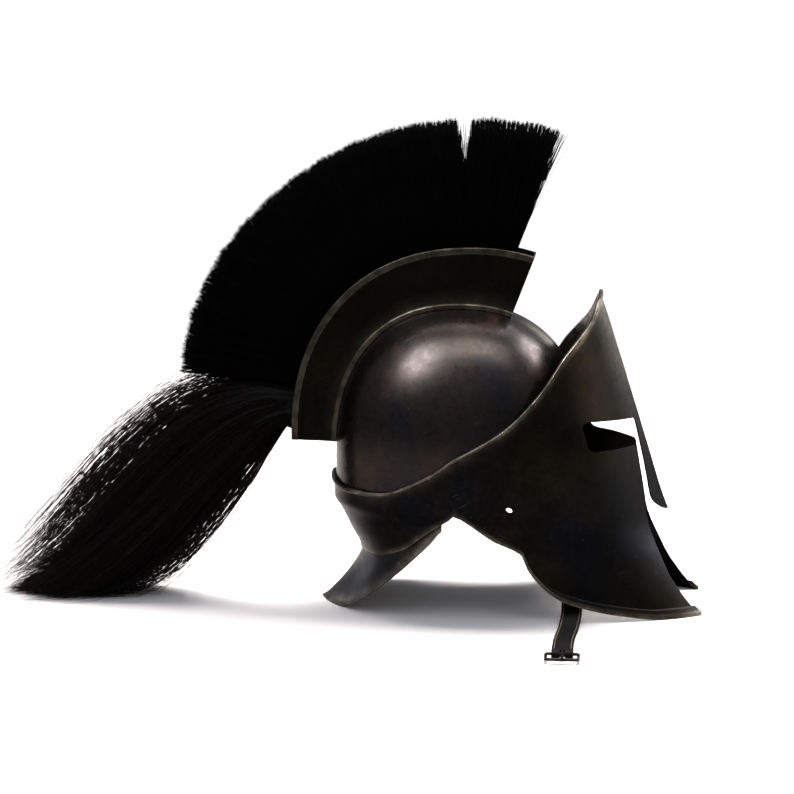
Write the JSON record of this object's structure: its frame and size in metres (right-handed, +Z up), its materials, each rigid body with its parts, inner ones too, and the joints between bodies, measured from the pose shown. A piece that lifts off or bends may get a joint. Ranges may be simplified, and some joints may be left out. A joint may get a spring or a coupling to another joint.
{
  "type": "crested helmet",
  "caption": "Open-faced ancient Greek style steel helmet with a nasal, cheek guards, flared neck guard, tall hair crest with a drooping tail, and an unfastened leather chin strap.",
  "frame": {"origin": "On the surface that the helmet stands on, under the middle of the whole object's box: its length runs from the tip of the hair tail to the tips of the cheek guards.", "axes": "+X towards the front of the helmet, +Y to the wearer's left, +Z up."},
  "size_m": [0.7459, 0.4929, 0.481],
  "materials": {
    "blackened_steel": "satin",
    "crest_steel": "satin",
    "hair": "matte",
    "strap_leather": "satin",
    "buckle_steel": "satin"
  },
  "bodies": {
    "root": {"bowl": "blackened_steel", "face_shell": "blackened_steel", "neck_guard": "blackened_steel", "crest_box": "crest_steel", "crest_brush": "hair", "crest_tail": "hair", "strap_left": "strap_leather", "strap_right": "strap_leather", "strap_stud_left": "buckle_steel", "strap_stud_right": "buckle_steel", "buckle_frame": "buckle_steel", "buckle_prong": "buckle_steel"}
  },
  "joints": []
}
